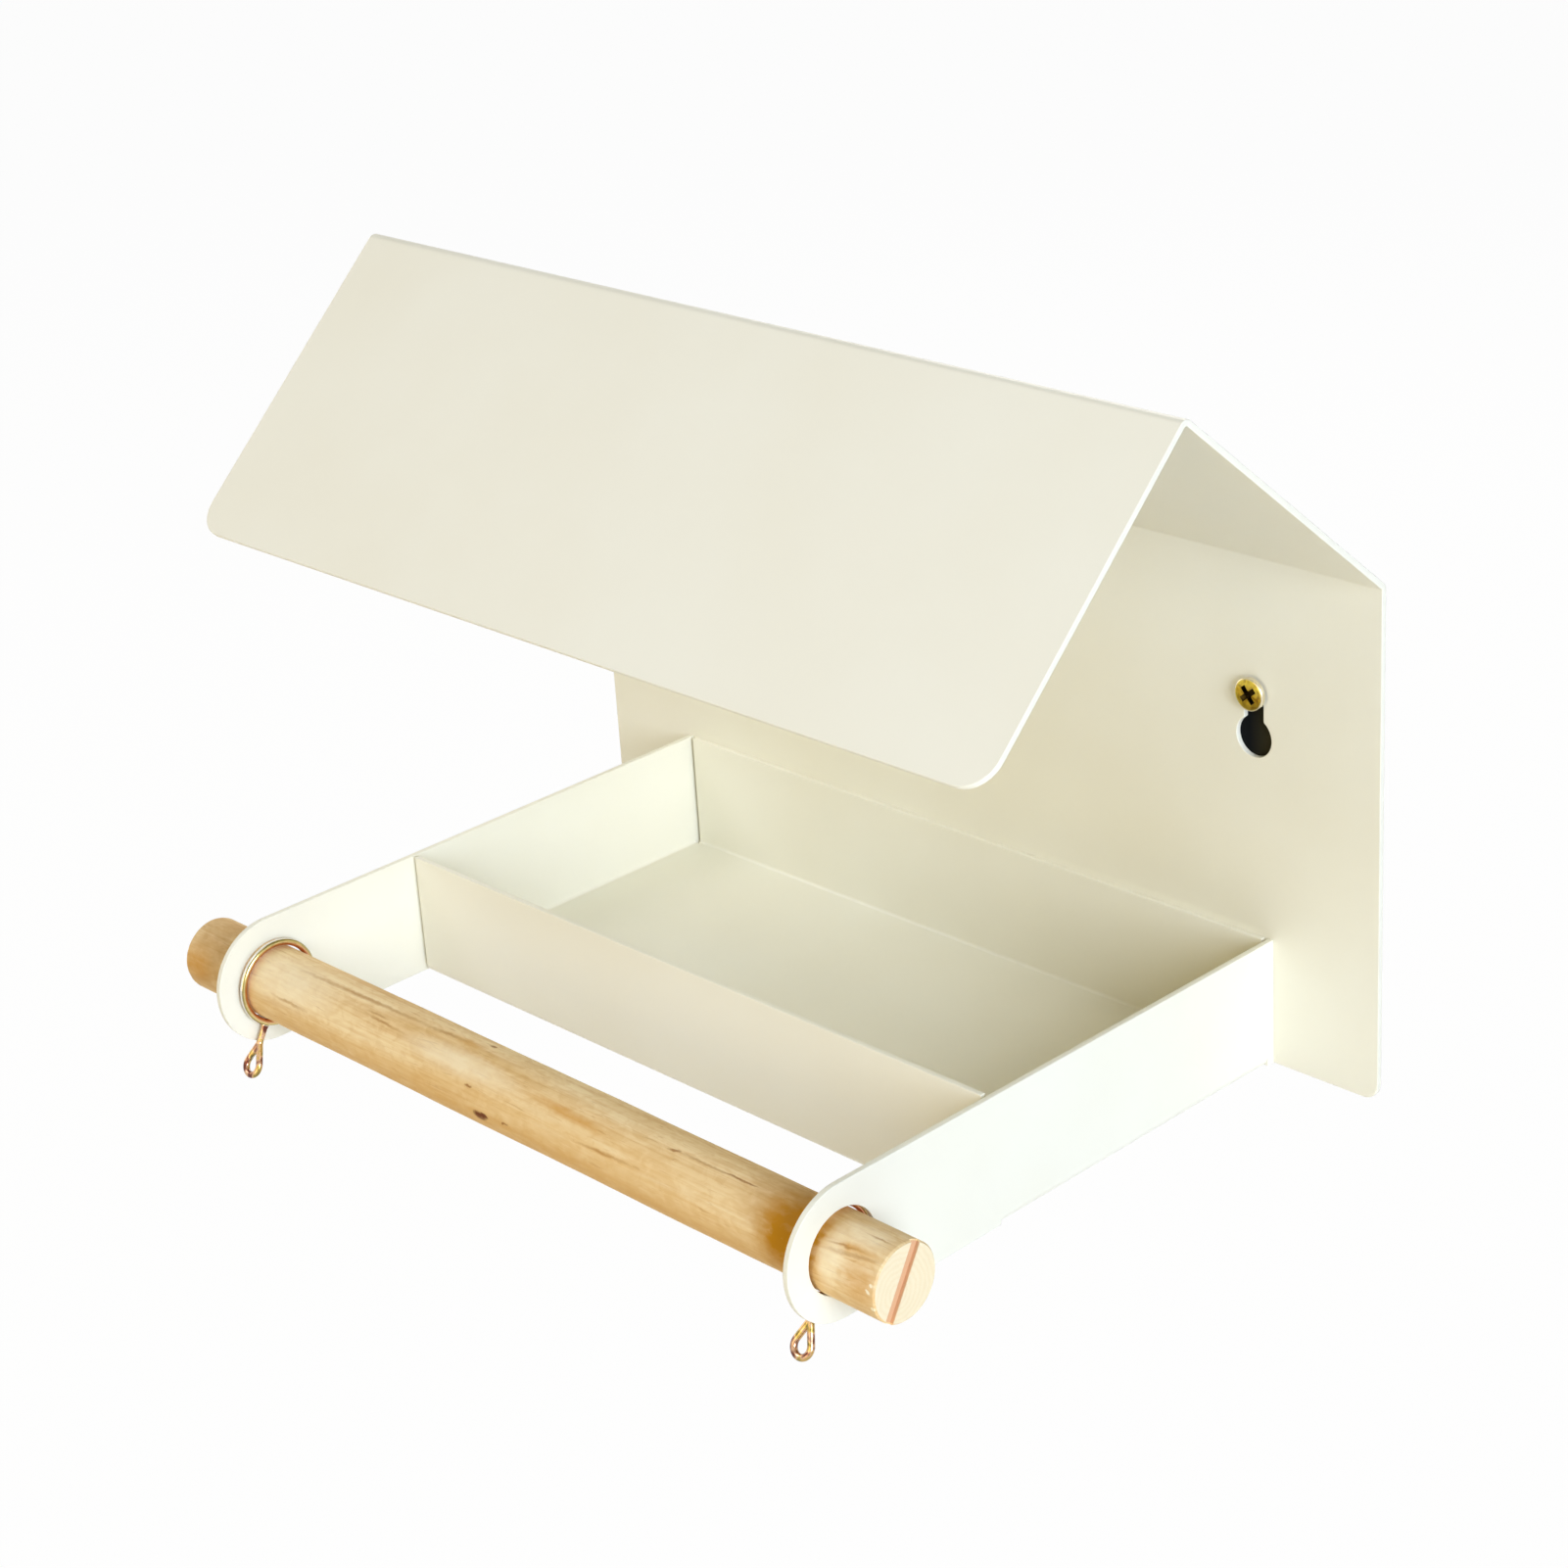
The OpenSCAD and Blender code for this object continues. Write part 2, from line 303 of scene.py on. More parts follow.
bmesh.ops.remove_doubles(bm, verts=bm.verts[:], dist=CLOSE)
bmesh.ops.recalc_face_normals(bm, faces=bm.faces[:])
if min(bm.faces, key=lambda f: f.calc_center_median().z).normal.z > 0:
    bmesh.ops.reverse_faces(bm, faces=bm.faces[:])
tray = solid_piece(bm, "folded_tray", powder_coat, "feeder", "powder_coat", "tray")
sheet_metal(tray)

# Perch
# A peeled and oiled hardwood stick, turned round but not quite even, with a saw slot across its
# right end. It lies loose in the round holes of the arms.

STICK = 9.35 * MM                 # radius
STICK_CHAMFER = 0.5 * MM
STICK_RINGS = 150
STICK_FACETS = 96
STICK_HOLLOW = 0.28 * MM          # how far the uneven surface falls below a true cylinder
SAW_SLOT_WIDE = 2.7 * MM
SAW_SLOT_DEEP = 1 * MM
SAW_SLOT_LEAN = radians(30)
SAW_SLOT_AHEAD = 0.9 * MM         # in front of the middle of the stick
SEAM = 0.002 * MM                 # points nearer than this are merged where a turn closes
# The slow unevenness and the fine one: their length, and how often they change round the stick
WAVE_LONG, WAVE_ROUND = 38 * MM, 1.3
FIBRE_LONG, FIBRE_ROUND = 14 * MM, 7


def turned(bm, profile, centre, axis, steps):
    """Turn an open profile that starts and ends on an axis into a closed shell"""
    chain = [bm.verts.new(p) for p in profile]
    edges = [bm.edges.new(pair) for pair in zip(chain, chain[1:])]
    bmesh.ops.spin(bm, geom=chain + edges, cent=centre, axis=axis, angle=2 * pi, steps=steps,
                   use_merge=True, use_duplicate=False)
    bmesh.ops.remove_doubles(bm, verts=bm.verts[:], dist=SEAM)
    bmesh.ops.recalc_face_normals(bm, faces=bm.faces[:])


def carved(bm, cutter):
    """The solid that is left when the cutter is taken out of the first one"""
    pair = []
    for source in (bm, cutter):
        mesh = bpy.data.meshes.new("carving")
        source.to_mesh(mesh)
        source.free()
        pair.append(bpy.data.objects.new("carving", mesh))
        bpy.context.scene.collection.objects.link(pair[-1])
    cut = pair[0].modifiers.new("cut", "BOOLEAN")
    cut.object = pair[1]
    cut.solver = "EXACT"
    left = bmesh.new()
    left.from_object(pair[0], bpy.context.evaluated_depsgraph_get())
    for done in pair:
        bpy.data.objects.remove(done)
    return left


def grain_scale(length, width):
    """The scale of a pattern of this length along the stick and width across it, both in mm"""
    return 1 / (length * MM), 1 / (width * MM), 1 / (width * MM)


def reach_from(tree, place, point, across):
    """How far a place lies from a line through this point; across is 0 along the line"""
    away = add(tree, "VectorMath", {0: place, 1: point}, operation="SUBTRACT")
    away = add(tree, "VectorMath", {0: away, 1: across}, operation="MULTIPLY")
    return add(tree, "VectorMath", {0: away}, operation="LENGTH").outputs["Value"]


low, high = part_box("perch")
axis = Vector((0, (low.y + high.y) / 2, (low.z + high.z) / 2))
straight = [low.x + STICK_CHAMFER + (high.x - low.x - 2 * STICK_CHAMFER) * i / STICK_RINGS
            for i in range(STICK_RINGS + 1)]
profile = [(low.x, 0), (low.x, STICK - STICK_CHAMFER)] + [(x, STICK) for x in straight] + [
    (high.x, STICK - STICK_CHAMFER), (high.x, 0)]
bm = bmesh.new()
turned(bm, [axis + Vector((x, -r, 0)) for x, r in profile], axis, (1, 0, 0), STICK_FACETS)
for v in bm.verts:
    out = Vector((0, v.co.y - axis.y, v.co.z - axis.z))
    if out.length > STICK - CLOSE:
        out.normalize()
        wave = noise.noise(Vector((v.co.x / WAVE_LONG, WAVE_ROUND * out.y, WAVE_ROUND * out.z)))
        fibre = noise.noise(Vector((v.co.x / FIBRE_LONG, FIBRE_ROUND * out.y,
                                    FIBRE_ROUND * out.z)))
        v.co -= out * STICK_HOLLOW * min(1, max(0, 0.45 + 0.5 * wave + 0.2 * fibre))
cutter = bmesh.new()
bmesh.ops.create_cube(cutter, size=1, matrix=Matrix.Translation((high.x, axis.y, axis.z))
                      @ Matrix.Rotation(-SAW_SLOT_LEAN, 4, "X")
                      @ Matrix.Translation((0, -SAW_SLOT_AHEAD, 0))
                      @ Matrix.Diagonal((2 * SAW_SLOT_DEEP, SAW_SLOT_WIDE, 4 * STICK, 1)))
bm = carved(bm, cutter)

# Oiled hardwood: honey-tan, with fine brown grain lines that run along the stick, a few small knots
# and cracks, and an amber stain beside the right arm; the sawn ends are paler and show its rings.
# Painted shade darkens its underside, a band low on its front and the browner wood beside the arms,
# and painted light brightens the right stub.
oiled_wood, tree = new_material("oiled_hardwood")
place = add(tree, "TexCoord").outputs["Object"]
along = add(tree, "Mapping", {"Vector": place, "Location": -axis})
wide = add(tree, "Mapping", {"Vector": along, "Scale": grain_scale(75, 8)})
cloud = add(tree, "TexNoise", {"Vector": wide, "Scale": 1, "Detail": 4, "Distortion": 0.4})
tone = add(tree, "ValToRGB", {"Fac": cloud},
           [(0.30, "#E6C286"), (0.45, "#F3D39D"), (0.58, "#F8DFAE"), (0.72, "#FBE9C1")])
# Finer patterns over that tone: grain lines, cross figure and flecks, by their length and width in
# mm, their slant, detail and distortion, how much they darken it, and their colours
patterns = []
for length, width, slant, detail, distortion, share, stops in (
        (30, 0.8, (0, 0, 0), 4, 0.6, 0.3, [(0.34, "#DDBE88"), (0.54, "#FFFFFF")]),
        (5, 2.6, (0, 0.6, 0.5), 4, 1.2, 0.24, [(0.38, "#D8B67C"), (0.58, "#FFFFFF")]),
        (7, 0.6, (0, 0, 0), 2, 0.8, 0.35, [(0.27, "#B4823F"), (0.36, "#FFFFFF")])):
    laid = add(tree, "Mapping", {"Vector": along, "Rotation": slant,
                                 "Scale": grain_scale(length, width)})
    patterns.append(add(tree, "TexNoise", {"Vector": laid, "Scale": 1, "Detail": detail,
                                           "Distortion": distortion}))
    dark = add(tree, "ValToRGB", {"Fac": patterns[-1]}, stops)
    tone = add(tree, "Mix", {"Factor": share, 6: tone, 7: dark}, data_type="RGBA",
               blend_type="MULTIPLY").outputs[2]
grain = patterns[0]

# Marks of the wood, and painted shade and light: the place along the stick in mm and round it in
# degrees upwards from its front, half the length and half the width in mm, and the tilt in degrees
# Painted shade: a long darker band along the underside of the stick
UNDERSIDE_SHADE = [(-4, -30, 150, 9, 0)]
# Painted shade: a long darker band low on the front of the stick
LOW_FRONT_SHADE = [(34, 31, 72, 8, 0)]
# Browner wood with painted shade in it, beside the right arm and on the left stub, where the arms
# shade the stick
BROWN_AND_ARM_SHADE = [(87, 78, 17, 8, 0), (88, 48, 14, 6, 0), (-115, 42, 12, 13, 0), (-116, 82, 13, 9, 0),
         (-118, 0, 10, 7, 0)]
STAINS = [(93, 34, 13, 13, 0)]
OCHRE = [(113, 18, 7, 7, 0), (-119, 10, 8, 6, 0), (108, 52, 9, 1.4, -4), (-20, 86, 6, 1.4, 0),
         (20, 50, 16, 1.6, 2)]
# Paler wood along the stick, and painted light on the right stub, where it is paler on top and
# beside the arm
PALE_AND_LIT = [(104, 34, 4, 9, 0), (110, 78, 9, 4, 0), (-84, 50, 22, 8, 0), (-18, 50, 24, 4, 0)]
STREAKS = [(-58, 78.5, 32, 0.8, -1.5), (-47, 55, 9, 0.5, 2), (-50, 62, 5, 0.5, 0),
           (-28, 84, 9, 0.7, -4), (64, 70.5, 15, 0.45, -1), (109.5, 44.5, 9.5, 0.7, -7),
           (107, 51, 6, 0.4, -6), (113, 80.5, 5, 0.4, 0), (-80, 20, 9, 0.5, 1),
           (34, 22, 11, 0.5, -2)]
FLAWS = [(0.6, -6.4, 1.4, 0.5, -15), (52.6, 69, 1.7, 0.55, -10), (-12, 26, 1.5, 0.4, -10),
         (-14.7, 101, 1.3, 0.6, 0), (73, 71.5, 6.5, 0.3, -1)]
KNOTS = [(-8.2, -14, 2.7, 1.3, -8), (-6.6, -10, 1.3, 0.7, 25)]
CHIPS = [(115.8, 8, 1.0, 0.6, 20), (117.2, -16, 0.8, 0.8, 0), (117.2, 19, 0.7, 0.5, 0)]
# Their colour, how crisp their edge is and how strongly they show; the later lie over the earlier
MARKS = [(UNDERSIDE_SHADE, "#D9AA62", 1.6, 0.8), (LOW_FRONT_SHADE, "#DBAE66", 1.6, 0.38),
         (BROWN_AND_ARM_SHADE, "#BE8E4C", 1.5, 0.6), (STAINS, "#C4870D", 1.5, 1.3),
         (OCHRE, "#D0943A", 1.5, 0.65), (PALE_AND_LIT, "#FFF0CC", 1.5, 0.65),
         (STREAKS, "#AC7226", 1.4, 0.6), (FLAWS, "#93540E", 1.8, 0.8),
         (KNOTS, "#6E3604", 2.2, 1.0), (CHIPS, "#FFF3D6", 2.2, 0.9)]
RIPPLE = 2.5 * MM                 # how far apart the edges of a mark waver, and how far they stray
STRAY = (3 * MM, 1.1 * MM, 1.1 * MM)
LEAST_DEEP = 2                    # mm that a mark reaches into the wood at least
ripple = add(tree, "TexNoise", {"Vector": place, "Scale": 1 / RIPPLE, "Detail": 3})
shift = add(tree, "VectorMath", {0: ripple.outputs["Color"], 1: (0.5, 0.5, 0.5)},
            operation="SUBTRACT")
shift = add(tree, "VectorMath", {0: shift, 1: STRAY}, operation="MULTIPLY")
uneven = add(tree, "VectorMath", {0: place, 1: shift}, operation="ADD")
drawn = add(tree, "Mapping", {"Vector": uneven, "Scale": grain_scale(5, 2)})
blot = add(tree, "TexNoise", {"Vector": drawn, "Scale": 1, "Detail": 4})
patchy = add(tree, "MapRange", {"Value": blot, "From Min": 0.35, "From Max": 0.6,
                                "To Min": 0.66})
for marks, code, crisp, strength in MARKS:
    most = 0.0
    for x, turn, half_long, half_wide, tilt in marks:
        turn, tilt = radians(turn), radians(tilt)
        spin = Matrix.Rotation(-turn, 3, "X") @ Matrix.Rotation(tilt, 3, "Y")
        spot = add(tree, "Mapping", {
            "Vector": uneven, "Rotation": spin.to_euler(),
            "Location": axis + Vector((x * MM, -STICK * cos(turn), STICK * sin(turn))),
            "Scale": (half_long * MM, max(LEAST_DEEP, half_wide) * MM, half_wide * MM)},
            vector_type="TEXTURE")
        spot = add(tree, "TexGradient", {"Vector": spot}, gradient_type="SPHERICAL")
        most = add(tree, "Math", {0: spot.outputs["Fac"], 1: most}, operation="MAXIMUM")
    most = add(tree, "Math", {0: most, 1: crisp}, operation="MULTIPLY", use_clamp=True)
    most = add(tree, "Math", {0: most, 1: strength}, operation="MULTIPLY")
    most = add(tree, "Math", {0: most, 1: patchy}, operation="MULTIPLY")
    tone = add(tree, "Mix", {"Factor": most, 6: tone, 7: rgb(code)}, data_type="RGBA").outputs[2]

# The sawn ends: everything that lies deeper than the chamfer, with the slot a shade darker.
# A Wave node draws 20 / (2 pi) rings on a unit of length.
PITH_ASIDE = (0, 2.2 * MM, 1.4 * MM)
YEAR_RING = 1.3 * MM
RIM_DEEP = 0.45 * MM              # the outermost wood keeps the oiled tone
SLOT_SHADE = 0.2 * MM             # the slot is darker from this depth
pith = add(tree, "Mapping", {"Vector": along, "Location": PITH_ASIDE})
rings = add(tree, "TexWave", {"Vector": pith, "Scale": 2 * pi / (20 * YEAR_RING), "Distortion": 5,
                              "Detail": 3, "Detail Scale": 0.8, "Detail Roughness": 0.6},
            wave_type="RINGS", rings_direction="X")
sawn = add(tree, "ValToRGB", {"Fac": rings.outputs["Fac"]}, [(0.1, "#EFDCB4"), (0.8, "#F1E0BB")])
reach = reach_from(tree, place, axis, (0, 1, 1))
inside = add(tree, "Math", {0: reach, 1: STICK - RIM_DEEP}, operation="LESS_THAN")
depth = add(tree, "SeparateXYZ", {"Vector": place}).outputs["X"]
in_slot = add(tree, "Math", {0: depth, 1: high.x - SLOT_SHADE}, operation="LESS_THAN")
not_left = add(tree, "Math", {0: depth, 1: 0.0}, operation="GREATER_THAN")
in_slot = add(tree, "Math", {0: in_slot, 1: not_left}, operation="MULTIPLY")
sawn = add(tree, "Mix", {"Factor": in_slot, 6: sawn, 7: rgb("#DDAE84")}, data_type="RGBA")
tone = add(tree, "Mix", {"Factor": inside, 6: tone, 7: sawn.outputs[2]},
           data_type="RGBA").outputs[2]
GRAIN_DEEP = 0.12 * MM
gloss = add(tree, "MapRange", {"Value": grain, "To Min": 0.50, "To Max": 0.66})
relief = add(tree, "Bump", {"Height": grain, "Strength": 0.5, "Distance": GRAIN_DEEP})
wood = add(tree, "BsdfPrincipled", {"Base Color": tone, "Roughness": gloss, "Normal": relief,
                                    "Specular IOR Level": 0.15})
add(tree, "OutputMaterial", {"Surface": wood})
solid_piece(bm, "perch_stick", oiled_wood, "perch", "perch_wood", "perch")

# Rings with eyes
# Each is bent from 1.7 mm steel wire, yellow zinc plated: a ring that turns on the perch, a short
# neck below it, and a teardrop eye for a hook or string. Both lean forward a little.

WIRE = 0.85 * MM                  # radius
WIRE_FACETS = 20
RING = 10.4 * MM                  # radius to the middle of the wire
RING_STEPS = 96
NECK = 4.6 * MM
NECK_TAPER = 0.98
EYE_BOW = 2.4 * MM
BOW_STEPS = 32
EYE_CENTRE = 5.85 * MM            # from the end of the neck to the middle of the bow
RING_LEAN = radians(29)
FLARE = 0.3 * MM                  # the neck is thicker where it leaves the ring
FLARE_LONG = 2 * WIRE
BALL = 1.08 * WIRE                # closes the gap where the legs of the eye leave the neck
FILM_SCRATCH = 0.4 * MM
WIRE_PATCH = 3 * MM


def zinc_plating(name, patch, *film_stops):
    """Bright steel under a clear passivated film, whose colour turns over patches of this size"""
    plating, tree = new_material(name)
    place = add(tree, "TexCoord").outputs["Object"]
    film = add(tree, "TexNoise", {"Vector": place, "Scale": 1 / patch, "Detail": 1,
                                  "Distortion": 0.8})
    tone = add(tree, "ValToRGB", {"Fac": film}, film_stops)
    scratch = add(tree, "TexNoise", {"Vector": place, "Scale": 1 / FILM_SCRATCH, "Detail": 2})
    gloss = add(tree, "MapRange", {"Value": scratch, "To Min": 0.15, "To Max": 0.24})
    metal = add(tree, "BsdfPrincipled",
                {"Base Color": tone, "Metallic": 1.0, "Roughness": gloss, "Coat Weight": 0.5,
                 "Coat Roughness": 0.12})
    add(tree, "OutputMaterial", {"Surface": metal})
    return plating, tree, tone, metal


# Yellow zinc on wire: the film was stretched by bending, so the eye shows copper pink and pale
# gold with dark red patches; the ring has a painted reflection: copper pink inside, pale in the
# middle and olive outside
wire_zinc, tree, tone, metal = zinc_plating(
    "yellow_zinc_wire", WIRE_PATCH, (0.38, "#6A3320"), (0.45, "#BC7F5B"), (0.53, "#D6AC86"),
    (0.60, "#C8A55C"), (0.69, "#7E702C"))
place = add(tree, "TexCoord").outputs["Object"]
reach = reach_from(tree, place, axis, (0, 1, 1))
# Painted reflection on the ring, by the distance from the perch's axis across its wire
ring_reflection = add(tree, "MapRange", {"Value": reach, "From Min": RING - WIRE, "From Max": RING + WIRE})
ring_reflection = add(tree, "ValToRGB", {"Fac": ring_reflection}, [(0.25, "#DC8C66"), (0.42, "#E8C6A4"),
                                             (0.7, "#DCCB88"), (0.9, "#8E8226")])
ring_reflection_share = add(tree, "Math", {0: reach, 1: RING + WIRE}, operation="LESS_THAN")
ring_reflection_share = add(tree, "Math", {0: ring_reflection_share, 1: 0.85}, operation="MULTIPLY")
tone = add(tree, "Mix", {"Factor": ring_reflection_share, 6: tone, 7: ring_reflection}, data_type="RGBA").outputs[2]
tree.links.new(tone, metal.inputs["Base Color"])

spread = asin(EYE_BOW / EYE_CENTRE)
leg = EYE_CENTRE * cos(spread)
neck_end = RING + WIRE + NECK
for name in ("ring_left", "ring_right"):
    low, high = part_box(name)
    bm = bmesh.new()
    section = bmesh.ops.create_circle(bm, radius=WIRE, segments=WIRE_FACETS,
                                      matrix=Matrix.Translation((0, 0, RING))
                                      @ Matrix.Rotation(pi / 2, 4, "X"))["verts"]
    section += list({e for v in section for e in v.link_edges})
    bmesh.ops.spin(bm, geom=section, cent=(0, 0, 0), axis=(1, 0, 0), angle=2 * pi,
                   steps=RING_STEPS, use_merge=True, use_duplicate=False)
    top = bmesh.ops.create_circle(bm, cap_ends=True, radius=WIRE + FLARE, segments=WIRE_FACETS,
                                  matrix=Matrix.Translation((0, 0, -RING)))["verts"]
    for length, thinner in ((FLARE_LONG, WIRE / (WIRE + FLARE)),
                            (neck_end - RING - FLARE_LONG, NECK_TAPER)):
        free = list({e for v in top for e in v.link_edges if all(w in top for w in e.verts)})
        free = run_on(bm, free, Vector((0, 0, -length)))
        top = list({v for e in free for v in e.verts})
        bmesh.ops.scale(bm, verts=top, vec=(thinner, thinner, 1))
    bmesh.ops.contextual_create(bm, geom=free)
    right_leg = Vector((sin(spread), 0, -cos(spread)))
    left_leg = Vector((-sin(spread), 0, -cos(spread)))
    start = bmesh.ops.create_circle(bm, cap_ends=True, radius=WIRE, segments=WIRE_FACETS,
                                    matrix=Matrix.Translation((0, 0, -neck_end))
                                    @ right_leg.to_track_quat("Z", "Y").to_matrix().to_4x4())
    free = list({e for v in start["verts"] for e in v.link_edges})
    free = run_on(bm, free, right_leg * leg)
    bow = bmesh.ops.spin(bm, geom=free + list({v for e in free for v in e.verts}),
                         cent=(0, 0, -neck_end - EYE_CENTRE), axis=(0, 1, 0),
                         angle=pi + 2 * spread, steps=BOW_STEPS, use_duplicate=False)
    free = run_on(bm, edges_of(bow["geom_last"]), -left_leg * leg)
    bmesh.ops.contextual_create(bm, geom=free)
    bmesh.ops.create_icosphere(bm, subdivisions=3, radius=BALL,
                               matrix=Matrix.Translation((0, 0, -neck_end)))
    bmesh.ops.recalc_face_normals(bm, faces=bm.faces[:])
    bmesh.ops.transform(bm, verts=bm.verts[:], matrix=Matrix.Translation(
        ((low.x + high.x) / 2, axis.y, axis.z)) @ Matrix.Rotation(-RING_LEAN, 4, "X"))
    solid_piece(bm, "wire_" + name, wire_zinc, name, "yellow_zinc", name)

# Screws
# Two cross-recess pan head wood screws, yellow zinc plated like the rings, driven into the wall
# until their heads stand 0.8 mm off the plate, which hangs on their necks.

HEAD = 4 * MM                     # radius
HEAD_BACK = -2.3 * MM
HEAD_EDGE = 0.1 * MM
RIM = 0.9 * MM
DOME = 0.5 * MM
DOME_CURVE = 0.7                  # 1 is an ellipse, and less has a flatter top
DOME_STEPS = 16
SCREW_FACETS = 48
SHANK = 2 * MM                    # radius, as those of the crests, the core and the tip
NECK_END = 0.3 * MM
NECK_CONE = 0.6 * MM
CREST = 1.95 * MM
CORE = 1.4 * MM
POINT = 4 * MM
TIP = 0.08 * MM
TIP_LONG = 0.1 * MM
PITCH = 1.8 * MM
TOOTH_ROOT = 0.1 * MM             # how far a tooth is sunk into the core
TOOTH = (0.3 * MM, 0.75 * MM, 1.2 * MM)   # one side, the crest and the other, behind the neck
TOOTH_STEPS = 24                  # on one turn of the thread
THREAD_SHORT = 2.6 * MM           # how much shorter the thread is than the part in the wall
THREAD_START = 0.55               # share of its full width where it begins
THREAD_RUN_IN = 3 * MM            # a length on which it would grow by its full width
RECESS_LONG = 6 * MM
RECESS_WIDE = 1.7 * MM
RECESS_DEEP = 1.2 * MM
RECESS_TAPER = 0.6
RECESS_TURNS = (radians(52), radians(-38))
# Below this depth the recess is painted dark as shade
RECESS_SHADE_DEPTH = 0.16 * MM         # the film is as on the head above this depth
SCREW_PATCH = 2.4 * MM
# The highlight on the rim of the head is painted, pale all round it
RIM_HIGHLIGHT_WIDE = 0.45 * MM                # width of the bright rim of the head

# Yellow zinc on a barrel-plated screw: a thicker, greener film than on the wire,
# with a painted highlight, pale, round the rim of its head
screw_zinc, tree, tone, metal = zinc_plating(
    "yellow_zinc_screw", SCREW_PATCH, (0.32, "#94740E"), (0.45, "#C9A61E"), (0.56, "#D8BC38"),
    (0.70, "#A09822"))
place = add(tree, "TexCoord").outputs["Object"]
side = add(tree, "VectorMath", {0: place}, operation="ABSOLUTE")
reach = reach_from(tree, side, (KEYHOLE_X, 0, 0), (1, 0, 1))
# Painted highlight: the rim of the head turns pale
painted_rim_highlight = add(tree, "MapRange", {"Value": reach, "From Min": HEAD - RIM_HIGHLIGHT_WIDE,
                                "From Max": HEAD - HEAD_EDGE, "To Max": 0.85})
tone = add(tree, "Mix", {"Factor": painted_rim_highlight, 6: tone, 7: rgb("#F5EFDC")}, data_type="RGBA")
tree.links.new(tone.outputs[2], metal.inputs["Base Color"])

# Painted shade in the cross recess: a dull, dark bronze zinc with brown spots
RECESS_SPOT = 0.8 * MM
recess_shade_metal, tree = new_material("painted_recess_shade")
place = add(tree, "TexCoord").outputs["Object"]
film = add(tree, "TexNoise", {"Vector": place, "Scale": 1 / RECESS_SPOT, "Detail": 2})
tone = add(tree, "ValToRGB", {"Fac": film}, [(0.35, "#140D05"), (0.65, "#46340F")])
metal = add(tree, "BsdfPrincipled", {"Base Color": tone, "Metallic": 1.0, "Roughness": 0.4})
add(tree, "OutputMaterial", {"Surface": metal})

front = HEAD_BACK - RIM - DOME
arc = [pi / 2 * i / DOME_STEPS for i in range(DOME_STEPS + 1)]
for name in ("screw_left", "screw_right"):
    low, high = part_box(name)
    x = (low.x + high.x) / 2
    tip = high.y
    dome = [(HEAD * sin(t) ** DOME_CURVE, front + DOME * (1 - cos(t) ** DOME_CURVE)) for t in arc]
    profile = dome + [
        (HEAD, HEAD_BACK - HEAD_EDGE), (HEAD - HEAD_EDGE, HEAD_BACK), (SHANK, HEAD_BACK),
        (CREST, NECK_END), (CORE, NECK_END + NECK_CONE), (CORE, tip - POINT),
        (TIP, tip - TIP_LONG), (0, tip)]
    bm = bmesh.new()
    turned(bm, [(x + r, y, 0) for r, y in profile], (x, 0, 0), (0, 1, 0), SCREW_FACETS)
    for turn in RECESS_TURNS:
        cutter = bmesh.new()
        bar = bmesh.ops.create_cube(cutter, size=1, matrix=Matrix.Diagonal(
            (RECESS_LONG, 2 * RECESS_DEEP, RECESS_WIDE, 1)))["verts"]
        bmesh.ops.scale(cutter, verts=[v for v in bar if v.co.y > 0],
                        vec=(RECESS_TAPER, 1, RECESS_TAPER))
        bmesh.ops.transform(cutter, verts=bar, matrix=Matrix.Translation((x, front, 0))
                            @ Matrix.Rotation(turn, 4, "Y"))
        bm = carved(bm, cutter)
    # Painted shade: the faces deep in the recess take the dark metal
    for face in bm.faces:
        spot = face.calc_center_median()
        if hypot(spot.x - x, spot.z) < RECESS_LONG / 2 and (
                front + RECESS_SHADE_DEPTH < spot.y < HEAD_BACK - CLOSE):
            face.material_index = 1
    # The thread: one tooth, carried round and along the core, that runs out at both ends
    tooth = [bm.verts.new((x + r, NECK_END + y, 0)) for r, y in zip(
        (CORE - TOOTH_ROOT, CREST, CORE - TOOTH_ROOT), TOOTH)]
    edges = [bm.edges.new((tooth[i], tooth[i - 1])) for i in range(3)]
    turns = (tip - NECK_END - THREAD_SHORT) / PITCH
    steps = round(turns * TOOTH_STEPS)
    known = set(bm.verts) - set(tooth)
    bmesh.ops.spin(bm, geom=tooth + edges, cent=(x, 0, 0), axis=(0, 1, 0), steps=steps,
                   angle=steps * 2 * pi / TOOTH_STEPS, dvec=(0, PITCH / TOOTH_STEPS, 0),
                   use_duplicate=False)
    thread = [v for v in bm.verts if v not in known]
    for v in thread:
        keep = min(1, (tip - v.co.y) / POINT,
                   THREAD_START + (v.co.y - NECK_END) / THREAD_RUN_IN)
        v.co.x = x + (v.co.x - x) * keep
        v.co.z *= keep
    bmesh.ops.holes_fill(bm, edges=[e for e in bm.edges if e.is_boundary], sides=3)
    bmesh.ops.recalc_face_normals(bm, faces=bm.faces[:])
    screw = solid_piece(bm, "threaded_" + name, screw_zinc, "wall_screws", "yellow_zinc", name)
    screw.data.materials.append(recess_shade_metal)

# Shade behind the keyholes
# The photograph shows the shaded wall through the wide end of a keyhole. A small dark panel hidden
# in the thickness of the plate gives that shade, and is high enough for it when the feeder is
# lifted. It belongs to the studio, not to the feeder.

